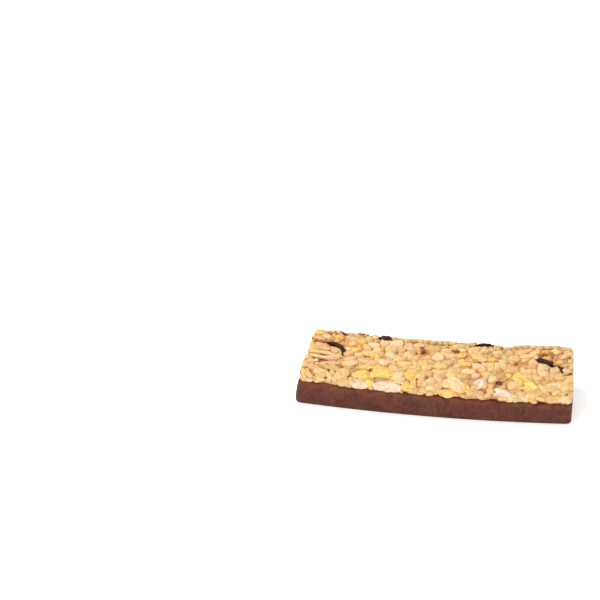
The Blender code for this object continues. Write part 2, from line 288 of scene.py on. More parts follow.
class Wire:
    """An output of a material's nodes. Arithmetic on it adds Math nodes."""

    def __init__(self, tree, socket=None):
        self.tree, self.socket = tree, socket

    def node(self, kind, settings=(), sockets=(), outlet=0):
        made = self.tree.nodes.new("ShaderNode" + kind)
        for key, value in dict(settings).items():
            setattr(made, key, value)
        for key, value in dict(sockets).items():
            if isinstance(value, Wire):
                self.tree.links.new(value.socket, made.inputs[key])
            else:
                made.inputs[key].default_value = value
        return Wire(self.tree, made.outputs[outlet])

    def math(self, operation, first, second=0.0, clamp=False):
        return self.node("Math", {"operation": operation, "use_clamp": clamp}, {0: first, 1: second})

    def __add__(self, other):
        return self.math("ADD", self, other)

    def __sub__(self, other):
        return self.math("SUBTRACT", self, other)

    def __rsub__(self, other):
        return self.math("SUBTRACT", other, self)

    def __mul__(self, other):
        return self.math("MULTIPLY", self, other)

    __radd__, __rmul__ = __add__, __mul__

    def clamped(self):
        return self.math("ADD", self, 0.0, clamp=True)

    def between(self, low, high):
        """0 at low and 1 at high, with a smooth rise from one to the other and no more beyond them."""
        settings = {"interpolation_type": "SMOOTHSTEP"}
        return self.node("MapRange", settings, {"Value": self, "From Min": low, "From Max": high})

    def blend(self, plain, full):
        """A colour that goes from plain to full as this wire goes from 0 to 1."""
        settings = {"data_type": "RGBA", "clamp_factor": True}
        return self.node("Mix", settings, {0: self, 6: plain, 7: full}, outlet=2)

    def bump(self, depth, below=None):
        """A normal from this height, whose 0 to 1 stand for depth in metres, on top of another bump."""
        sockets = {"Height": self, "Distance": depth}
        return self.node("Bump", {}, sockets | ({"Normal": below} if below else {}))


def scattering(weight, radius, scale):
    """Constants that let this share of the light in, as deep as each colour's radius times scale."""
    return {"Subsurface Weight": weight, "Subsurface Radius": radius, "Subsurface Scale": scale}


def new_finish(name, constants):
    """A material, its shader with these constant values, and a wire to build its patterns from."""
    made = bpy.data.materials.new(name)
    made.use_nodes = True
    shader = made.node_tree.nodes["Principled BSDF"]
    for key, value in constants.items():
        shader.inputs[key].default_value = value
    return made, shader, Wire(made.node_tree)


def feed(shader, wires):
    for key, wire in wires.items():
        wire.tree.links.new(wire.socket, shader.inputs[key])


def place(wire, stretch=(1, 1, 1)):
    """Object coordinates, drawn out along an axis where stretch is below 1."""
    spot = wire.node("TexCoord", outlet=3)
    return wire.node("VectorMath", {"operation": "MULTIPLY"}, {0: spot, 1: stretch})


def noise(wire, size, detail=2.0, roughness=0.5, stretch=(1, 1, 1)):
    """Cloudy noise, mostly from 0.3 to 0.7, with lumps of about this size in metres."""
    sockets = {"Vector": place(wire, stretch), "Scale": 1 / size, "Detail": detail, "Roughness": roughness}
    return wire.node("TexNoise", {}, sockets)


def cells(wire, size):
    """The distance from the nearest cell's middle, where it is 0, and about 0.5 half way to the next."""
    return wire.node("TexVoronoi", {"feature": "F1"}, {"Vector": place(wire), "Scale": 1 / size})


def attribute(wire, name):
    return wire.node("Attribute", {"attribute_name": name}, outlet=2)


def chocolate_body():
    """The foot, sides and ragged rim as the lower sheet, and the shelf under the granola as the upper one.

    The lower sheet runs flat, round a quarter circle and up the wall, whose share lifts it from the rounding
    to the rim. Its wall moves in by long upright waves, short dents and nicks along the foot. The shelf is a
    little below the plane, and near its border it goes over to the rim by a smooth step.
    """
    reach = CHOCOLATE_CORNER - FOOT_ROUND + FOOT_ROUND * math.pi / 2 + CHOCOLATE_LEFT - FOOT_ROUND
    x, y, out_x, out_y, past = unfolded(0, CHOCOLATE_CORNER, reach)
    out, rise, wall = turned_edge(past, CHOCOLATE_CORNER, FOOT_ROUND, reach)
    plan_x, plan_y = x + out_x * out, y + out_y * out
    height = rise + wall * (chocolate_rim(plan_x, plan_y) - FOOT_ROUND)
    around = plan_x - 1.3 * plan_y
    upright = np.sin(2 * math.pi * around / BLADE_MARKS[0] + 0.2 * np.sin(height / (2 * MM)))
    upright = upright + np.sin(2 * math.pi * around / BLADE_MARKS[1] + 1)
    dents = ripple(plan_x, plan_y + 0.9 * height, DENTS, 1.4)
    nicks = smooth_step((ripple(plan_x, plan_y, NICKS, 2.2) - 0.45) / 0.3)
    nicks = nicks * smooth_step(rise / FOOT_ROUND) * (1 - smooth_step(wall * 6))
    side = smooth_step(wall * 5) * smooth_step((1 - wall) * 8)
    inwards = np.where(wall > 0, MARK_DEPTH * (upright + dents) * side, 0) + NICK_DEPTH * nicks
    inwards = inwards + CRUMBLED * smooth_step((wall - 0.96) / 0.04)
    inwards = inwards - TONGUE_DEPTH * tongues(plan_x, plan_y) * smooth_step((wall - 0.7) / 0.2)
    lower = np.stack([plan_x - out_x * inwards, plan_y - out_y * inwards, height], -1)
    under_x = x + out_x * CHOCOLATE_CORNER * past / reach
    under_y = y + out_y * CHOCOLATE_CORNER * past / reach
    shelf = chocolate_top(under_x, under_y) - SHELF_DROP
    near_rim = 1 - smooth_step(CHOCOLATE_CORNER * (1 - past / reach) / SHELF_EDGE)
    shelf = shelf + near_rim * (chocolate_rim(under_x, under_y) - shelf)
    upper = np.stack([under_x, under_y, shelf], -1)
    upper[[0, -1]] = lower[[0, -1]]
    upper[:, [0, -1]] = lower[:, [0, -1]]
    points, faces = two_sheets(leaned(upper), leaned(lower))
    return points, faces, {"wall": np.concatenate([np.ones(wall.size), wall[1:-1, 1:-1].ravel()])}


def chocolate_finish():
    """Matt brown and cloudy, with darker upright smears and a few pale specks of bloom.

    The wall is darker towards its foot, which is painted shade, and lighter and redder near the rim, which
    is a painted highlight.
    """
    constants = {"Specular IOR Level": 0.18} | scattering(0.05, (1.0, 0.45, 0.3), 0.8 * MM)
    finish, shader, wire = new_finish("milk_chocolate", constants)
    wall = attribute(wire, "wall")
    clouds = noise(wire, 5 * MM, 3, 0.55)
    smears = noise(wire, 3.2 * MM, 3, 0.55, (1, 1, 0.55))
    blotches = noise(wire, 1.3 * MM, 3, 0.65)
    colour = clouds.between(0.3, 0.72).blend(srgb(79, 40, 28), srgb(103, 56, 41))
    # Painted shade: the wall darker towards its foot.
    colour = ((1 - wall.between(0.0, 0.6)) * 0.25).blend(colour, srgb(74, 40, 31))
    # Painted highlight: the wall lighter and redder near its rim, where the top light falls.
    colour = (wall.between(0.6, 1.0) * 0.7).blend(colour, srgb(118, 62, 42))
    colour = (smears.between(0.52, 0.70) * 0.55).blend(colour, srgb(64, 34, 27))
    colour = (blotches.between(0.46, 0.66) * 0.2).blend(colour, srgb(134, 80, 62))
    colour = ((1 - blotches.between(0.34, 0.48)) * 0.25).blend(colour, srgb(60, 30, 22))
    speck = (1 - cells(wire, 1.3 * MM).between(0.08, 0.16)) * noise(wire, 4 * MM).between(0.5, 0.6)
    colour = (speck * 0.35).blend(colour, srgb(168, 126, 100))
    marks = noise(wire, 0.9 * MM, 3, 0.6, (1, 1, 0.12))
    grain = noise(wire, 0.35 * MM, 2, 0.6)
    feed(
        shader,
        {
            "Base Color": colour,
            "Roughness": 0.45 + 0.25 * noise(wire, 1.7 * MM, 3),
            "Normal": grain.bump(0.06 * MM, below=marks.bump(0.12 * MM, below=blotches.bump(0.22 * MM))),
        },
    )
    return finish


points, faces, values = chocolate_body()
chocolate = new_piece("milk_chocolate_base", points, faces, chocolate_finish(), "milk_chocolate", values)
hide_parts("chocolate_layer")

# The binding mass. Fine crumbs and boiled syrup fill the space between the grains and glue them together.
# They show only as toasted brown at the bottom of the gaps.
CROWN = 13.9 * MM
CROWN_WAVES = (46 * MM, 21 * MM, 8 * MM)
CROWN_SWELL = 0.35 * MM
GRANOLA_CORNER = 2.2 * MM
BINDING_INSET = 1.3 * MM
BINDING_RISE = 0.45 * MM
BINDING_SHOULDER = 1.9 * MM
BINDING_LUMPS = (3.9 * MM, 2.7 * MM, 1.9 * MM)
BINDING_UNEVEN = 0.35 * MM
BINDING_SUNK = 0.02 * MM  # how far it goes below the chocolate's plane


def crown(x, y):
    """The height of the binding mass, with the low waves that pressing leaves."""
    return CROWN + CROWN_SWELL * ripple(x, y, CROWN_WAVES, 0.8)


def binding_body():
    """The top, shoulders and walls as the upper sheet, lumpy by short ripples, over a plane as the lower."""
    reach = GRANOLA_CORNER + CROWN - CHOCOLATE_RIGHT
    x, y, out_x, out_y, past = unfolded(BINDING_INSET, GRANOLA_CORNER, reach)
    out, drop, wall = turned_edge(past, GRANOLA_CORNER, BINDING_SHOULDER, reach)
    plan_x, plan_y = x + out_x * out, y + out_y * out
    bottom = chocolate_top(plan_x, plan_y) - BINDING_SUNK
    shoulder = crown(plan_x, plan_y) + BINDING_RISE - drop
    height = shoulder + wall * (bottom - shoulder)
    lumpy = ripple(plan_x + 0.7 * height, plan_y - 0.6 * height, BINDING_LUMPS, 0.3)
    lumpy = BINDING_UNEVEN * lumpy * (1 - smooth_step((wall - 0.8) / 0.2))
    flat = 1 - smooth_step(past / GRANOLA_CORNER)
    upper = np.stack([plan_x + out_x * lumpy, plan_y + out_y * lumpy, height + flat * lumpy], -1)
    under_x = x + out_x * GRANOLA_CORNER * past / reach
    under_y = y + out_y * GRANOLA_CORNER * past / reach
    lower = np.stack([under_x, under_y, chocolate_top(under_x, under_y) - BINDING_SUNK], -1)
    return two_sheets(leaned(upper), leaned(lower))


def binding_finish():
    """Boiled syrup, amber to brown, a little glossy, with a crumbly surface."""
    finish, shader, wire = new_finish("boiled_syrup", {"Coat Roughness": 0.3})
    crumbly = noise(wire, 0.8 * MM, 4, 0.6)
    colour = noise(wire, 1.6 * MM, 3).between(0.35, 0.65).blend(srgb(216, 162, 102), srgb(242, 198, 140))
    colour = (crumbly.between(0.3, 0.5) * 0.6).blend(srgb(186, 128, 72), colour)
    feed(
        shader,
        {
            "Base Color": colour,
            "Roughness": 0.35 + 0.3 * crumbly,
            "Coat Weight": 0.3 * crumbly,
            "Normal": crumbly.bump(0.5 * MM),
        },
    )
    return finish


binding = new_piece("binding_mass", *binding_body(), binding_finish(), "crisped_grain")
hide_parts("granola")

# The pieces of dried fruit and yoghurt. They go into the mix before it is pressed, so they lie flush with
# the cut sides and the top: wrinkled slivers of a dark berry, angular pieces of mango and chips of yoghurt.
FRUIT = {
    "dark_berry_1": ((6.3, 1.25, 1.0), -38, 0, 3.1),
    "dark_berry_2": ((2.4, 2.0, 1.3), 10, 0, 0.3),
    "dark_berry_3": ((3.7, 0.85, 1.35), 14, 0, 0.5),
    "dark_berry_4": ((3.7, 1.7, 1.0), -38, 0, -0.6),
    "dark_berry_5": ((2.7, 0.95, 1.0), -62, 0, 0.7),
    "mango_piece_1": ((4.9, 3.5, 1.25), 4, 0, 0),
    "mango_piece_2": ((5.9, 2.3, 1.4), -60, 6, -0.5),
    "yoghurt_chip_1": ((3.1, 1.9, 1.45), 0, 0, 0),
    "yoghurt_chip_2": ((5.6, 2.4, 1.8), 0, 2, 0),
    "yoghurt_chip_3": ((4.6, 2.3, 1.6), 0, 10, 0),
    "yoghurt_chip_4": ((3.1, 2.1, 1.2), 8, 0, 0),
}  # half lengths in millimetres, turn and pitch in degrees, and a sliver's bend in millimetres
PRESS_ROUND = 0.8 * MM  # the rounding of the pressed block's edges
PRESS_LOW = 15.7 * MM
PRESS_HIGH = 16.05 * MM
PRESS_WAVES = (17 * MM, 11 * MM)
PRESS_UNEVEN = 0.15 * MM
SWELLS = ((-43, 8, 0.4), (-25, 9, 0.9), (-4, 9, 0.1), (17, 5, 0.4), (25.5, 2.2, -0.8), (38, 7, 0.9))
SWELLS_START = 12 * MM  # they come in over this width, from the middle to the back
NEAR_TOP = (12 * MM, 2 * MM)  # the height from which pieces go with the top, and over which that comes in
KNEE = 0.35 * MM  # the depth under the skin within which the press squeezes grains
FRUIT_KNEE = 0.2 * MM
FRUIT_MARGIN = 0.05 * MM
FRUIT_TUCK = 0.5 * MM
FRUIT_SAG = 0.7 * MM  # how far below the chocolate's plane a sagging piece goes
TUCK_FADES = 1.3 * MM  # above the chocolate's rim
FRUIT_BALL = (44, 30)  # points round it, and rings


def pressed_height(x, y):
    """The pressed top: nearly level in front, with long swells and one notch along the back.

    Each swell is a bell curve with its middle, spread and rise in millimetres.
    """
    swells = 0
    for middle, spread, rise in SWELLS:
        swells = swells + rise * MM * np.exp(-(((x - middle * MM) / (spread * MM)) ** 2))
    level = PRESS_LOW + swells * smooth_step(y / SWELLS_START)
    return np.minimum(level + PRESS_UNEVEN * ripple(x, y, PRESS_WAVES, 0.4), PRESS_HIGH)


def pressed(points, margin, knee=KNEE):
    """Points squeezed into the cut and pressed block, their depths under its skin, and how far they moved.

    The block has round corners in plan and a rounding along its top edge. A point's distance is taken from
    the block less that rounding, or is minus the distance to the nearest face inside it. Within knee of the
    skin less a margin, distances are squeezed by an exponential that never passes it.
    """
    points = leaned(points, back=True)
    half = np.array([LENGTH, WIDTH]) / 2 - GRANOLA_CORNER
    plan = points[..., :2]
    over = plan - np.clip(plan, -half, half)
    size = np.linalg.norm(over, axis=-1)
    way = over / np.maximum(size, 1e-9)[..., None]
    sideways = np.where(size > 0, size, (np.abs(plan) - half).max(-1)) - GRANOLA_CORNER + PRESS_ROUND
    upwards = points[..., 2] - pressed_height(plan[..., 0], plan[..., 1]) + PRESS_ROUND
    beyond = np.hypot(np.maximum(sideways, 0), np.maximum(upwards, 0))
    far = np.where(beyond > 0, beyond, np.maximum(sideways, upwards))
    start = PRESS_ROUND - margin - knee
    near = np.where(far > start, start + knee * (1 - np.exp(-np.maximum(far - start, 0) / knee)), far)
    back = np.where(beyond > 0, 1 - near / np.maximum(beyond, 1e-9), 0)
    moved_plan = plan - way * (back * np.maximum(sideways, 0))[..., None]
    moved_z = points[..., 2] - back * np.maximum(upwards, 0)
    return leaned(np.concatenate([moved_plan, moved_z[..., None]], -1)), PRESS_ROUND - near, far - near


def on_the_top(middle):
    """A middle near the top, moved up by as much as the pressed top is higher there."""
    rise = pressed_height(middle[0], middle[1]) - PRESS_LOW
    return middle + np.array([0, 0, rise * smooth_step((middle[2] - NEAR_TOP[0]) / NEAR_TOP[1])])


def tucked(points, depth):
    """How far points keep in from the sides near the chocolate's rim, so that its wall stays in front."""
    over_rim = (points[..., 2] - chocolate_rim(points[..., 0], points[..., 1])) / TUCK_FADES
    return depth * (1 - smooth_step(over_rim))


def ball(around, rings):
    """Unit directions of a ball in rings round the x axis between two poles, its squares and its caps."""
    polar = np.linspace(0, math.pi, rings + 2)[1:-1, None]
    turn = np.linspace(0, 2 * math.pi, around, endpoint=False)
    across = np.sin(polar)
    rows = np.stack(np.broadcast_arrays(np.cos(polar), across * np.cos(turn), across * np.sin(turn)), -1)
    points = np.concatenate([[[1, 0, 0]], rows.reshape(-1, 3), [[-1, 0, 0]]])
    index = 1 + np.arange(rings * around).reshape(rings, around)
    after = np.roll(index, -1, axis=1)
    squares = np.stack([index[:-1], index[1:], after[1:], after[:-1]], -1).reshape(-1, 4)
    first = np.stack([0 * index[0], index[0], after[0]], -1)
    last = np.stack([0 * index[0] + len(points) - 1, after[-1], index[-1]], -1)
    return points, squares, np.concatenate([first, last])


def uneven_balls(unit, half, power, waves, draw):
    """A ball for each row of half lengths, in its own axes, made square-shouldered and uneven.

    A direction is divided by its norm of the given power, and multiplied by the half lengths and by one
    plus, for each wave, a depth times the mean of four sines that run through the ball at random with that
    many radians per radius.
    """
    size = (np.abs(unit) ** power).sum(-1) ** (-1 / power)
    uneven = np.ones((len(half), len(unit)))
    for radians, depth in waves:
        ways = draw.normal(0, 1, (len(half), 4, 3))
        ways = ways / np.linalg.norm(ways, axis=-1, keepdims=True) * radians
        phase = draw.uniform(0, 2 * math.pi, (len(half), 1, 4))
        uneven = uneven + depth * np.sin(np.einsum("pi,nwi->npw", unit, ways) + phase).mean(-1)
    return unit * (size * uneven)[..., None] * half[:, None]


def axes_of(turn, pitch):
    """A piece's own axes as rows, from its turn about z and its pitch about y, in degrees."""
    turn, pitch = math.radians(turn), math.radians(pitch)
    along = (math.cos(turn) * math.cos(pitch), math.sin(turn) * math.cos(pitch), -math.sin(pitch))
    up = (math.cos(turn) * math.sin(pitch), math.sin(turn) * math.sin(pitch), math.cos(pitch))
    return np.array([along, (-math.sin(turn), math.cos(turn), 0), up])


def fruit_place(node):
    """The middle, axes, half lengths and bend of a piece whose box has the same middle as its node's."""
    half, turn, pitch, bend = FRUIT[node]
    axes = axes_of(turn, pitch)
    unit = ball(24, 16)[0]
    local = unit * np.array(half) * MM
    local[:, 1] += bend * MM * (1 - unit[:, 0] ** 2)
    spread = local @ axes
    low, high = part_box(node)
    middle = bent(np.array((low + high) / 2), back=True)
    return middle - (spread.min(0) + spread.max(0)) / 2, axes, np.array(half) * MM, bend * MM


def fruit_body(node, seed, power, waves, mound=0.0, sags=False):
    """An uneven ball in the node's place, its middle moved sideways by the bend times one less x squared.

    Its upper half is drawn in towards the top by the mound, and a sagging one is drawn out below to up to
    twice its half height, to go under the chocolate's rim.
    """
    unit, squares, caps = ball(*FRUIT_BALL)
    centre, axes, half, bend = fruit_place(node)
    local = uneven_balls(unit, half[None], power, waves, np.random.default_rng(seed))[0]
    local[:, 1] += bend * (1 - np.clip(local[:, 0] / half[0], -1, 1) ** 2)
    local[:, 0] *= 1 - mound * np.clip(local[:, 2] / half[2], 0, 1)
    sag = (centre[2] + FRUIT_SAG - chocolate_top(centre[0], centre[1])) / half[2]
    local[:, 2] *= np.where(local[:, 2] < 0, np.clip(sag, 1, 2) if sags else 1, 1)
    points = on_the_top(centre) + local @ axes
    points = pressed(points, FRUIT_MARGIN + tucked(points, FRUIT_TUCK), FRUIT_KNEE)[0]
    return points, squares.tolist() + caps.tolist()


def berry_finish():
    """Dried berry skin, almost black, wine red where it is thin, wrinkled, with a waxy gloss."""
    finish, shader, wire = new_finish("dried_berry", {"Coat Roughness": 0.3, "Specular IOR Level": 0.13})
    folds = noise(wire, 1.1 * MM, 3, 0.55)
    fine = noise(wire, 0.3 * MM, 2)
    colour = folds.between(0.4, 0.66).blend(srgb(30, 13, 9), srgb(68, 33, 23))
    colour = (noise(wire, 3.2 * MM, 2).between(0.48, 0.66) * 0.4).blend(colour, srgb(96, 28, 24))
    bump = fine.bump(0.12 * MM, below=folds.bump(0.5 * MM))
    gloss = {"Roughness": 0.4 + 0.3 * fine, "Coat Weight": folds * 0.12}
    feed(shader, gloss | {"Base Color": colour, "Normal": bump})
    return finish


def mango_finish():
    """Dried mango: clear yellow with orange depths, slightly sticky and gritty."""
    constants = {"Coat Roughness": 0.3} | scattering(0.35, (1.0, 0.6, 0.15), 1.6 * MM)
    finish, shader, wire = new_finish("dried_mango", constants)
    depth = noise(wire, 2.4 * MM, 3, 0.55)
    fibres = noise(wire, 0.7 * MM, 3, 0.55, (0.4, 1, 1))
    colour = depth.between(0.36, 0.66).blend(srgb(236, 184, 84), srgb(248, 214, 116))
    colour = ((1 - fibres.between(0.3, 0.48)) * 0.45).blend(colour, srgb(226, 158, 60))
    bump = fibres.bump(0.25 * MM, below=depth.bump(0.5 * MM))
    gloss = {"Roughness": 0.3 + 0.25 * fibres, "Coat Weight": depth * 0.4}
    feed(shader, gloss | {"Base Color": colour, "Normal": bump})
    return finish


def yoghurt_finish():
    """Yoghurt chip: smooth, chalky and creamy white, faintly pink, with shallow dents."""
    finish, shader, wire = new_finish("yoghurt", scattering(0.3, (1.0, 0.7, 0.5), 1.5 * MM))
    clouds = noise(wire, 2.2 * MM, 3)
    dents = noise(wire, 0.9 * MM, 3)
    colour = clouds.between(0.35, 0.65).blend(srgb(214, 186, 154), srgb(236, 212, 184))
    bump = dents.bump(0.14 * MM, below=clouds.bump(0.35 * MM))
    feed(shader, {"Base Color": colour, "Roughness": 0.4 + 0.25 * dents, "Normal": bump})
    return finish


# Shown is the share of a piece that grains leave free. Room is how near to it the middles of large and of
# small grains come, as shares of its size.
FRUIT_KINDS = {
    "dark_berry": {
        "piece": "berry_sliver",
        "finish": (berry_finish(), "dried_berry"),
        "form": {"power": 2.2, "waves": ((2.6, 0.2), (6.0, 0.25), (12.0, 0.15))},
        "lumps": ((0.8 * MM, 0.35 * MM),),
        "shown": 0.95,
        "room": (1.08, 0.96),
    },
    "mango_piece": {
        "piece": "mango_cube",
        "finish": (mango_finish(), "dried_mango"),
        "form": {"power": 3.2, "waves": ((2.2, 0.4), (5.0, 0.4), (10.0, 0.2))},
        "lumps": ((1.3 * MM, 0.8 * MM),),
        "shown": 0.86,
        "room": (1.0, 0.96),
    },
    "yoghurt_chip": {
        "piece": "yoghurt_drop",
        "finish": (yoghurt_finish(), "yoghurt"),
        "form": {"power": 2.6, "waves": ((1.8, 0.35), (4.0, 0.3), (9.0, 0.1)), "mound": 0.45, "sags": True},
        "lumps": ((1.6 * MM, 0.5 * MM),),
        "shown": 0.9,
        "room": (1.0, 0.96),
    },
}
fruit_places = []
for seed, node in enumerate(FRUIT):
    kind, number = node.rsplit("_", 1)
    kind = FRUIT_KINDS[kind]
    body = fruit_body(node, seed, **kind["form"])
    fruit = new_piece(f"{kind['piece']}_{number}", *body, *kind["finish"], lumps=kind["lumps"])
    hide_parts(node)
    fruit_places.append((*fruit_place(node), kind["shown"], kind["room"]))

# The small bits. Crushed berry, sugared fruit and toasted crumbs are shaken in with the grains, and a few of
# them lie at the surface: red ones, golden ones, brown ones and dark skins.
BITS = {
    "red_bits": (
        ((-30.1, 15.7, 15.2), (1.4, 1.2, 0.8), 10),
        ((-5.0, 6.6, 15.1), (1.2, 1.2, 0.8), 40),
        ((-6.0, 8.6, 15.1), (0.9, 0.7, 0.6), 0),
        ((-5.4, -16.4, 13.7), (0.4, 0.5, 1.5), 0),
        ((-40.6, -8.7, 15.1), (1.7, 0.6, 0.6), -20),
        ((-43.8, 6.0, 15.3), (2.3, 1.2, 0.5), -8),
        ((15.4, 0.0, 15.1), (1.1, 0.7, 0.5), 30),
        ((6.6, 9.0, 15.1), (1.3, 0.8, 0.5), -10),
    ),
    "golden_bits": (
        ((-24.6, -15.4, 14.0), (2.9, 1.8, 1.5), 6),
        ((-22.4, -16.3, 11.8), (1.6, 0.9, 1.5), 0),
        ((-7.9, -14.0, 14.8), (2.4, 2.0, 1.2), 10),
        ((-9.4, -16.3, 11.4), (1.3, 0.8, 1.7), 0),
        ((-6.8, -8.0, 14.7), (2.3, 1.5, 1.1), -10),
        ((-45.6, 14.3, 14.7), (2.0, 2.2, 1.4), 20),
        ((-37.5, 11.4, 14.8), (2.0, 1.7, 1.2), 20),
        ((-28.7, 9.9, 14.9), (1.9, 1.6, 1.2), 0),
        ((-29.8, 2.3, 14.8), (1.9, 1.6, 1.2), 60),
        ((-21.4, -1.2, 14.7), (1.6, 1.5, 1.1), 60),
        ((-45.4, -1.4, 14.7), (1.7, 1.4, 1.0), 0),
        ((8.9, 5.5, 14.9), (1.9, 1.7, 1.2), 40),
        ((10.8, -2.3, 14.9), (2.1, 1.6, 1.2), -20),
        ((20.5, 3.3, 14.9), (1.7, 1.5, 1.1), -40),
        ((27.2, -9.0, 14.7), (1.7, 1.3, 1.0), -30),
        ((12.5, -16.2, 12.6), (1.2, 0.8, 1.4), 0),
    ),
    "toasted_bits": (
        ((-22.1, -12.2, 14.6), (1.0, 0.9, 0.9), 0),
        ((38.9, 9.6, 14.9), (1.1, 0.9, 0.8), 30),
        ((41.6, 8.7, 14.8), (1.0, 0.7, 0.7), 0),
        ((33.6, 9.7, 14.8), (0.8, 0.8, 0.7), 0),
        ((-41.4, -13.8, 14.7), (1.0, 0.8, 0.8), 0),
        ((-33.4, -12.6, 14.5), (0.5, 1.3, 0.8), 0),
        ((-2.0, -15.2, 14.3), (0.9, 0.8, 1.1), 0),
        ((4.4, -14.0, 14.6), (0.7, 1.1, 1.0), 10),
        ((12.4, 12.8, 14.8), (1.1, 0.8, 0.7), 0),
        ((-11.6, 5.8, 14.8), (0.9, 0.8, 0.7), 50),
        ((29.2, 1.6, 14.8), (0.9, 0.7, 0.7), 0),
        ((-16.2, 9.0, 14.8), (0.8, 0.7, 0.7), 0),
    ),
    "dark_bits": (
        ((49.1, -5.7, 14.4), (0.5, 1.1, 0.8), 0),
        ((-47.3, 9.6, 14.6), (0.7, 1.1, 0.5), 10),
        ((-36.7, 15.2, 15.3), (1.8, 0.5, 0.5), -24),
        ((-48.6, -16.0, 12.6), (0.35, 0.6, 0.6), 0),
        ((22.8, -16.4, 12.0), (0.5, 0.3, 0.3), 10),
        ((23.9, -15.6, 15.0), (1.2, 0.9, 0.8), -30),
    ),
}  # middle and half lengths in millimetres, and turn in degrees
BIT_WAVES = ((2.0, 0.35), (5.0, 0.3))
BIT_LUMPS = ((0.9 * MM, 0.6 * MM),)
BIT_POWER = 2.4
BIT_BALL = (12, 8)
BIT_SEED = 3
BIT_SHOWN = 0.8
BIT_ROOM = (1.0, 0.6)


def bit_finish(name, light, dark, gloss):
    """A sugared scrap of fruit between two colours, with a gloss."""
    constants = {"Coat Roughness": 0.3, "Coat Weight": gloss, "Specular IOR Level": 0.25}
    constants |= {"Subsurface Weight": 0.2, "Subsurface Scale": 0.8 * MM}
    finish, shader, wire = new_finish(name, constants)
    patches = noise(wire, 0.9 * MM, 3, 0.6)
    colour = patches.between(0.36, 0.64).blend(srgb(*dark), srgb(*light))
    feed(shader, {"Base Color": colour, "Roughness": 0.3 + 0.3 * patches, "Normal": patches.bump(0.4 * MM)})
    return finish


def many(points, squares, caps):
    """Vertices and faces of one mesh from count x points x 3 points that share one shape's faces."""
    start = len(points[0]) * np.arange(len(points))[:, None, None]
    faces = (squares + start).reshape(-1, 4).tolist() + (caps + start).reshape(-1, 3).tolist()
    return points.reshape(-1, 3), faces


BIT_FINISHES = {
    "red_bits": (bit_finish("sugared_berry", (208, 108, 78), (136, 44, 34), 0.2), "dried_berry"),
    "golden_bits": (bit_finish("golden_fruit", (250, 212, 122), (234, 174, 80), 0.2), "dried_mango"),
    "toasted_bits": (bit_finish("toasted_crumb", (212, 136, 74), (166, 92, 44), 0.3), "crisped_grain"),
    "dark_bits": (bit_finish("berry_skin", (128, 74, 44), (62, 28, 18), 0.1), "dried_berry"),
}
bit_draw = np.random.default_rng(BIT_SEED)
for name, bits in BITS.items():
    unit, squares, caps = ball(*BIT_BALL)
    halves = np.array([half for _, half, _ in bits]) * MM
    shapes = uneven_balls(unit, halves, BIT_POWER, BIT_WAVES, bit_draw)
    for shape, (middle, half, turn) in zip(shapes, bits):
        shape[:] = shape @ axes_of(turn, 0) + on_the_top(np.array(middle) * MM)
        fruit_places.append((shape.mean(0), axes_of(turn, 0), np.array(half) * MM, 0, BIT_SHOWN, BIT_ROOM))
    shapes = pressed(shapes, 0.0, FRUIT_KNEE)[0]
    new_piece(name, *many(shapes, squares, caps), *BIT_FINISHES[name], smoothing=2, lumps=BIT_LUMPS)

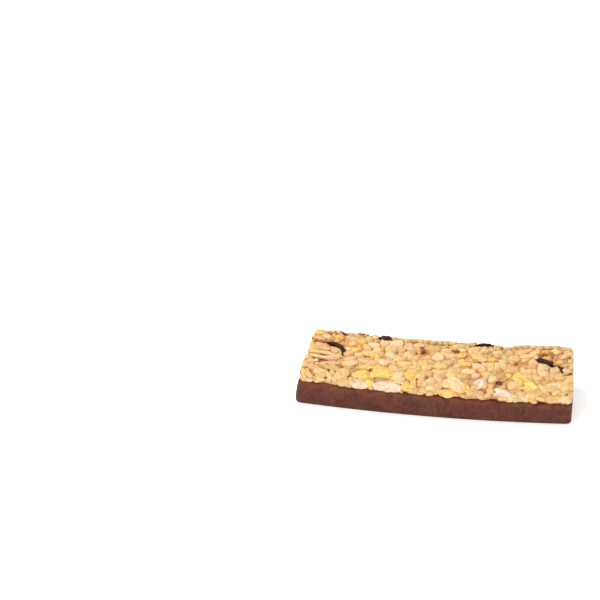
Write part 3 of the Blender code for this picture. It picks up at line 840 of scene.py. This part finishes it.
# The grains. Puffed rice, crisped cereal nuggets and a few whole flakes are toasted, tumbled in hot syrup,
# spread, rolled flat while warm and cut when cold, so they lie closest and flattest at the skin.
GRAIN_SIZES = (
    {"piece": "puffed_rice", "count": 95, "half": (3.0, 2.4, 1.8), "apart": 4.7, "buried": 1.5},
    {"piece": "crisp_nuggets", "count": 150, "half": (2.4, 2.05, 1.85), "apart": 3.8, "buried": 1.5},
    {"piece": "crisp_nuggets", "count": 45, "half": (1.9, 1.65, 1.5), "apart": 3.1, "buried": 1.5},
    {"piece": "small_crisps", "count": 340, "half": (1.75, 1.2, 1.0), "apart": 2.3, "buried": 1.75},
    {"piece": "broken_crisps", "count": 620, "half": (1.2, 0.8, 0.75), "apart": 1.6, "buried": 1.7},
)  # half lengths, least distance between middles and depth of the middles under the skin, in millimetres
STANDING_OUT = {
    "oat_flakes": (
        ((-42.0, 1.1, 15.1), (3.6, 1.2, 0.7), -12),
        ((-41.6, -2.6, 15.0), (4.6, 1.3, 0.7), -8),
        ((-42.6, -6.2, 15.0), (4.2, 1.2, 0.7), -4),
        ((-37.6, -9.9, 15.0), (3.6, 1.5, 0.9), 0),
        ((-44.6, -10.4, 15.0), (3.0, 1.3, 0.8), 4),
        ((-36.0, -14.2, 14.9), (5.2, 1.3, 0.8), -2),
        ((-43.0, -14.8, 14.6), (3.2, 1.3, 0.8), 2),
        ((-37.4, -16.2, 12.8), (4.0, 0.9, 1.1), -2),
        ((-44.6, -16.2, 12.2), (2.6, 0.9, 1.1), 0),
        ((-45.6, 8.2, 15.0), (2.8, 1.2, 0.7), -30),
        ((12.2, 15.8, 15.3), (2.6, 0.9, 0.7), 4),
        ((46.4, 9.2, 15.0), (3.0, 1.4, 0.7), 80),
    ),
    "puffed_rice": (
        ((1.8, -14.6, 13.7), (3.0, 2.4, 1.9), 5),
        ((8.6, -15.2, 13.5), (3.4, 2.6, 2.3), 0),
        ((-0.4, -15.3, 11.6), (2.8, 1.9, 1.9), 0),
        ((12.3, -7.6, 14.0), (3.2, 2.2, 1.7), -24),
        ((8.0, 14.0, 13.9), (3.0, 2.2, 1.8), 20),
        ((3.4, 9.0, 14.0), (3.0, 2.3, 1.7), -10),
        ((4.9, -0.5, 14.0), (2.9, 2.3, 1.8), 60),
        ((16.0, -3.4, 14.0), (3.2, 2.0, 1.7), -50),
        ((-10.7, -5.0, 14.0), (3.1, 2.2, 1.7), 10),
        ((-30.6, -8.7, 14.0), (2.8, 2.3, 1.7), 30),
        ((-27.0, -13.6, 14.2), (2.6, 1.9, 1.5), 0),
        ((37.9, -9.7, 14.0), (3.0, 2.3, 1.8), 15),
        ((42.6, -14.0, 13.6), (3.0, 2.3, 1.9), -10),
        ((38.8, -15.3, 12.9), (2.4, 2.0, 1.7), 0),
        ((45.2, 4.6, 13.9), (2.7, 2.1, 1.7), 70),
        ((-3.2, 12.4, 13.9), (2.9, 2.2, 1.7), -20),
        ((23.4, -1.2, 14.0), (2.8, 2.2, 1.7), 30),
        ((31.3, 11.8, 13.9), (3.0, 2.3, 1.7), 0),
        ((22.2, 10.3, 13.9), (2.8, 2.1, 1.7), 40),
        ((-25.5, -4.9, 14.0), (2.9, 2.2, 1.7), -30),
        ((2.4, -9.6, 14.0), (2.9, 2.1, 1.7), 0),
    ),
}  # middle and half lengths in millimetres, and turn in degrees
BACK_ROWS = (0, 1.9)  # how far down two rows of grains lie along the back edge, in millimetres
BACK_ROW_GRAIN = (1.8, 1.3, 1.25)
BACK_ROW_IN = (0.8, 1.2)
BACK_ROW_UNDER = (0.8, 1.1)
BACK_ROW_ENDS = (-47.5, 48)
BACK_ROW_STEP = 2.5
GRAIN_SEED = 11
GRAIN_TRIES = 6000
NOWHERE = (9, 9, 9)  # far from the bar, for grains that have no place yet
SKIN_TURN = 2.6 * MM  # over this depth from an edge, grains turn from lying on the top to lying on the side
SUNK = 0.75  # how deep a middle lies under a cut side, as a share of the least half length
TILTED = 0.22  # how far grains tilt from lying flat at the skin, and lean from lying along a cut, as slopes
LEANING = 0.6


def grain_sites():
    """Kind, middle, half lengths and turn of each grain: those that stand out, the back rows, then by size.

    Points are drawn on the unfolded skin of the granola, and one is kept if it is far enough from the rest.
    """
    draw = np.random.default_rng(GRAIN_SEED)
    wall = CROWN - (CHOCOLATE_LEFT + CHOCOLATE_RIGHT) / 2
    sites = []
    for name, grains in STANDING_OUT.items():
        sites += [(name, on_the_top(np.array(middle) * MM), half, turn) for middle, half, turn in grains]
    for down in BACK_ROWS:
        for x in np.arange(BACK_ROW_ENDS[0] + down / 2, BACK_ROW_ENDS[1], BACK_ROW_STEP) * MM:
            y = WIDTH / 2 - draw.uniform(*BACK_ROW_IN) * MM
            z = pressed_height(x, y) - (down + draw.uniform(*BACK_ROW_UNDER)) * MM
            sites.append(("small_crisps", leaned(np.array([x, y, z])), BACK_ROW_GRAIN, 0))
    for size in GRAIN_SIZES:
        middles = np.array([site[1] for site in sites] + [NOWHERE] * size["count"])
        found = len(sites)
        last = found + size["count"]
        near = SUNK * size["half"][2] * MM
        for _ in range(GRAIN_TRIES):
            if found == last:
                break
            x = draw.uniform(-LENGTH / 2, LENGTH / 2)
            y = draw.uniform(-WIDTH / 2 - wall, WIDTH / 2 + wall)
            if abs(y) < WIDTH / 2 and draw.uniform() < wall / (LENGTH / 2):
                x = math.copysign(LENGTH / 2 + draw.uniform(0, wall), x)
            down = max(abs(y) - WIDTH / 2, abs(x) - LENGTH / 2, 0)
            x = np.clip(x, near - LENGTH / 2, LENGTH / 2 - near)
            y = np.clip(y, near - WIDTH / 2, WIDTH / 2 - near)
            z = pressed_height(x, y) - size["buried"] * MM - down
            middle = leaned(np.array([x, y, z]))
            if np.linalg.norm(middles - middle, axis=1).min() > size["apart"] * MM:
                middles[found] = middle
                sites.append((size["piece"], middle, size["half"], None))
                found += 1
    return sites


def skin_ways(middles):
    """The way out of the block at each place: from the nearest point of the block less its rounding."""
    half = np.array([LENGTH / 2 - SKIN_TURN, WIDTH / 2 - SKIN_TURN])
    over = middles - np.concatenate([np.clip(middles[:, :2], -half, half), 0 * middles[:, 2:]], -1)
    over[:, 2] = np.maximum(middles[:, 2] - (HIGHEST - SKIN_TURN), 0.05 * MM)
    return over / np.linalg.norm(over, axis=-1, keepdims=True)


def grain_axes(middles, turns, draw):
    """Each grain's own axes as rows: the third near the way out of the block, the first along its turn.

    Grains without a turn lie every way on the top, and mostly along the cut on a side or an end.
    """
    out = skin_ways(middles)
    out = out + TILTED * draw.normal(0, 1, out.shape)
    out = out / np.linalg.norm(out, axis=-1, keepdims=True)
    free = draw.uniform(0, math.pi, len(middles))
    turn = np.where(np.isnan(turns), free, np.radians(turns))
    leaning = LEANING * draw.normal(0, 1, len(middles))
    flat = np.stack([np.cos(turn), np.sin(turn), 0 * turn], -1)
    side = np.stack([np.cos(leaning), 0 * turn, np.sin(leaning)], -1)
    end = np.stack([0 * turn, np.cos(leaning), np.sin(leaning)], -1)
    along = np.where((np.abs(out[:, 1]) > 0.7)[:, None], side, flat)
    along = np.where((np.abs(out[:, 0]) > 0.7)[:, None], end, along)
    along = along - out * (along * out).sum(-1, keepdims=True)
    along = along / np.linalg.norm(along, axis=-1, keepdims=True)
    return np.stack([along, np.cross(out, along), out], 1)


def fruit_distance(points, growth, small):
    """The least size of each point in the ellipsoids of the fruit and the bits, 1 where their room ends."""
    least = np.full(points.shape[:-1], 9.0)
    for centre, axes, half, bend, _, room in fruit_places:
        local = (points - centre) @ axes.T
        local[..., 1] -= bend * (1 - np.clip(local[..., 0] / half[0], -1, 1) ** 2)
        size = np.linalg.norm(local / (half + growth[..., None]), axis=-1)
        least = np.minimum(least, size / np.where(small, room[1], room[0]))
    return least


def clear_of_fruit(points):
    """Points in the shown share of a piece or a bit moved out of it, straight away from its middle line."""
    for centre, axes, half, bend, shown, _ in fruit_places:
        local = (points - centre) @ axes.T
        bow = bend * (1 - np.clip(local[..., 0] / half[0], -1, 1) ** 2)
        local[..., 1] -= bow
        size = np.linalg.norm(local / half, axis=-1)
        inside = (size < shown)[..., None]
        pushed = local * (shown / np.maximum(size, 0.2))[..., None]
        pushed[..., 1] += bow
        points = np.where(inside, pushed @ axes + centre, points)
    return points


NEIGHBOURS = 14  # how many of the nearest grains can make a crease
CREASE_FADES = 0.9 * MM


def creases(points, middles, axes, halves):
    """How close each point of a grain lies to another one: 1 where they touch, and 0 once creases fade.

    The distance is the least one to its neighbours' ellipsoids: a point's size in one, less 1, times the
    ellipsoid's least half length.
    """
    apart = np.linalg.norm(middles[:, None] - middles[None], axis=2)
    nearest = np.argsort(apart, axis=1)[:, 1 : NEIGHBOURS + 1]
    offset = points[:, :, None] - middles[nearest][:, None]
    local = np.einsum("npki,nkji->npkj", offset, axes[nearest]) / halves[nearest][:, None]
    distance = (np.linalg.norm(local, axis=3) - 1) * halves[nearest].min(axis=2)[:, None]
    return 1 - smooth_step(distance.min(axis=2) / CREASE_FADES)


def crisp_finish(name, pale, golden, pores):
    """Toasted puffed cereal between two colours, blistered, with syrup in its creases and pores at cuts.

    Its colour also holds painted light: a painted highlight on the blisters' tops, painted shade with the
    syrup in the creases, painted shade that grows deeper under the skin, and painted shade in the pores.
    """
    constants = {"Coat Roughness": 0.3, "Specular IOR Level": 0.3}
    constants |= scattering(0.5, (1.0, 0.68, 0.42), 1.3 * MM)
    finish, shader, wire = new_finish(name, constants)
    blisters = noise(wire, 1.1 * MM, 3, 0.55)
    fine = noise(wire, 0.35 * MM, 2, 0.6)
    toasted = noise(wire, 3.4 * MM, 3, 0.6)
    cut = attribute(wire, "cut")
    tone = (attribute(wire, "tone") + (toasted - 0.5) * 1.8).clamped()
    colour = tone.blend(srgb(*pale), srgb(*golden))
    tint = attribute(wire, "tint")
    colour = (tint.between(0.7, 0.9) * 0.55).blend(colour, srgb(250, 204, 112))
    colour = ((1 - tint.between(0.04, 0.14)) * 0.3).blend(colour, srgb(236, 180, 132))
    # Painted highlight: the blisters' raised tops lighter and creamier.
    colour = (blisters.between(0.52, 0.7) * 0.45).blend(colour, srgb(254, 220, 174))
    colour = (toasted.between(0.58, 0.72) * 0.35).blend(colour, srgb(230, 162, 90))
    # Syrup in the creases where grains touch, and painted shade there: darker and more orange by the crease
    syrup = (attribute(wire, "crease") * 0.9 + (blisters - 0.5) * 0.8).between(0.5, 1.1)
    # attribute and the blisters.
    colour = (syrup * 0.65).blend(colour, srgb(222, 148, 62))
    # Painted shade: darker and browner the deeper a point lies under the pressed skin.
    deep = (attribute(wire, "deep") + (fine - 0.5) * 0.5).between(0.4, 1.0)
    colour = (deep * 0.75).blend(colour, srgb(188, 112, 40))
    # Painted shade in the pores, which the bump only dents: dark dots, mostly where the blade went through.
    hole = 1 - (cells(wire, pores) + fine * 0.25).between(0.22, 0.36)
    hole = hole * (0.12 + 0.88 * cut) * noise(wire, 2.3 * MM).between(0.40, 0.58)
    colour = (hole * 0.75).blend(colour, srgb(146, 88, 44))
    height = blisters + fine * 0.2 - hole * 0.6
    feed(
        shader,
        {
            "Base Color": colour,
            "Roughness": (0.34 + 0.3 * fine + 0.15 * cut).clamped(),
            "Coat Weight": noise(wire, 2.6 * MM).between(0.48, 0.66) * 0.4,
            "Normal": height.bump(0.7 * MM),
        },
    )
    return finish


GRAIN_BALL = (8, 6)
GRAIN_POWER = 2.6
GRAIN_WAVES = ((2.4, 0.34), (4.8, 0.2))
GRAIN_LUMPS = ((1.5 * MM, 0.7 * MM), (0.7 * MM, 0.3 * MM))
CRUMB_LUMPS = ((1.1 * MM, 0.6 * MM),)
FLAKE_LUMPS = ((1.2 * MM, 0.35 * MM),)
GRAIN_KINDS = {
    "puffed_rice": (("puffed_rice", (248, 214, 165), (227, 185, 120), 0.75 * MM), 2, GRAIN_LUMPS),
    "oat_flakes": (("oat_flake", (246, 210, 160), (222, 172, 107), 0.9 * MM), 2, FLAKE_LUMPS),
    "crisp_nuggets": (("cereal_crisp", (246, 210, 158), (225, 178, 111), 0.65 * MM), 1, GRAIN_LUMPS),
    "small_crisps": (("small_crisp", (245, 206, 152), (223, 176, 111), 0.55 * MM), 0, CRUMB_LUMPS),
    "broken_crisps": (("broken_crisp", (242, 202, 147), (219, 170, 105), 0.5 * MM), 0, CRUMB_LUMPS),
}  # the finish, rounds of smoothing and lumps
CUT_PALER = 0.2  # how much paler grains are where the blade went through them, with less painted shade
ENDS_TOASTED = 0.2  # how much more toasted grains are at the two ends
ENDS = (36 * MM, 12 * MM)  # how far out the ends start, and the width over which they come in
DEEPEST = 2.2 * MM  # under the skin, where the painted shade on grains is as dark as it gets
CUT_OFF = 0.5 * MM  # how far the press moves a point that counts as cut
GRAIN_SPREAD = (0.92, 1.22)  # by which the half lengths vary
GRAIN_BEND = 0.10
GRAIN_MARGIN = 0.4  # how far under the skin a grain may end, in millimetres
KNOBS = 0.12  # how far each point of a grain wanders in or out
FLAKE_KNOBS = 0.3 * KNOBS
GRAIN_TUCK = 0.6 * MM
GRAIN_REACH = (0.7, 1.4)  # how far below the chocolate's plane the lowest grains end, in millimetres
SMALL_GRAIN = 1.3 * MM  # the least half length up to which a grain counts as small beside fruit


def grain_bodies():
    """Every grain as points on one shape's ball, with the numbers that its finish reads.

    The balls are made uneven, bent a little, set on their axes, pressed into the block, ended a little below
    the chocolate's plane and kept clear of the fruit. One whose middle is in a piece's room is left out.
    """
    sites = grain_sites()
    draw = np.random.default_rng(GRAIN_SEED + 1)
    middles = np.array([site[1] for site in sites])
    halves = np.array([site[2] for site in sites]) * MM
    turns = np.array([np.nan if site[3] is None else site[3] for site in sites])
    halves = halves * draw.uniform(*GRAIN_SPREAD, halves.shape)
    axes = grain_axes(middles, turns, draw)
    unit, squares, caps = ball(*GRAIN_BALL)
    local = uneven_balls(unit, halves, GRAIN_POWER, GRAIN_WAVES, draw)
    knobs = np.where([site[0] == "oat_flakes" for site in sites], FLAKE_KNOBS, KNOBS)[:, None, None]
    local = local * (1 + knobs * draw.uniform(-1, 1, (*local.shape[:2], 1)))
    bend = draw.normal(0, GRAIN_BEND, (len(sites), 1)) * halves[:, :1]
    local[..., 2] += bend * (1 - unit[:, 0] ** 2)
    points = np.einsum("npi,nij->npj", local, axes) + middles[:, None]
    margin = draw.uniform(0.0, GRAIN_MARGIN, (len(sites), 1)) * MM
    points, deep, cut = pressed(points, margin + tucked(points, GRAIN_TUCK))
    lowest = chocolate_top(points[..., 0], points[..., 1]) - draw.uniform(*GRAIN_REACH, (len(sites), 1)) * MM
    points[..., 2] = np.maximum(points[..., 2], lowest)
    least = halves.min(axis=1)
    growth = np.clip(0.9 * least - 0.8 * MM, 0, None)
    kept = fruit_distance(middles, growth, least <= SMALL_GRAIN) > 1
    # Crease and deep, the depth under the skin, steer the painted shade in the grains' finish.
    crease = creases(points, middles, axes, halves)
    points = clear_of_fruit(points)
    on_side = smooth_step((np.abs(axes[:, 2, :2]).max(axis=1)[:, None] - 0.5) / 0.3)
    crease = crease * (1 - CUT_PALER * on_side)
    deep = deep * (1 - CUT_PALER * on_side)
    tone = draw.uniform(0, 1, (len(sites), 1)) * (1 - CUT_PALER * on_side)
    tone = tone + ENDS_TOASTED * smooth_step((np.abs(points[..., 0]) - ENDS[0]) / ENDS[1])
    values = {
        "tone": tone,
        "tint": np.broadcast_to(draw.uniform(0, 1, (len(sites), 1)), deep.shape),
        "crease": crease,
        "deep": np.clip(deep / DEEPEST, 0, 1),
        "cut": np.clip(cut / CUT_OFF, 0, 1),
    }
    kinds = np.array([site[0] for site in sites])
    for name, (finish, smoothing, lumps) in GRAIN_KINDS.items():
        mine = kept & (kinds == name)
        mine_values = {label: numbers[mine].ravel() for label, numbers in values.items()}
        body = many(points[mine], squares, caps)
        new_piece(name, *body, crisp_finish(*finish), "crisped_grain", mine_values, smoothing, lumps)


grain_bodies()
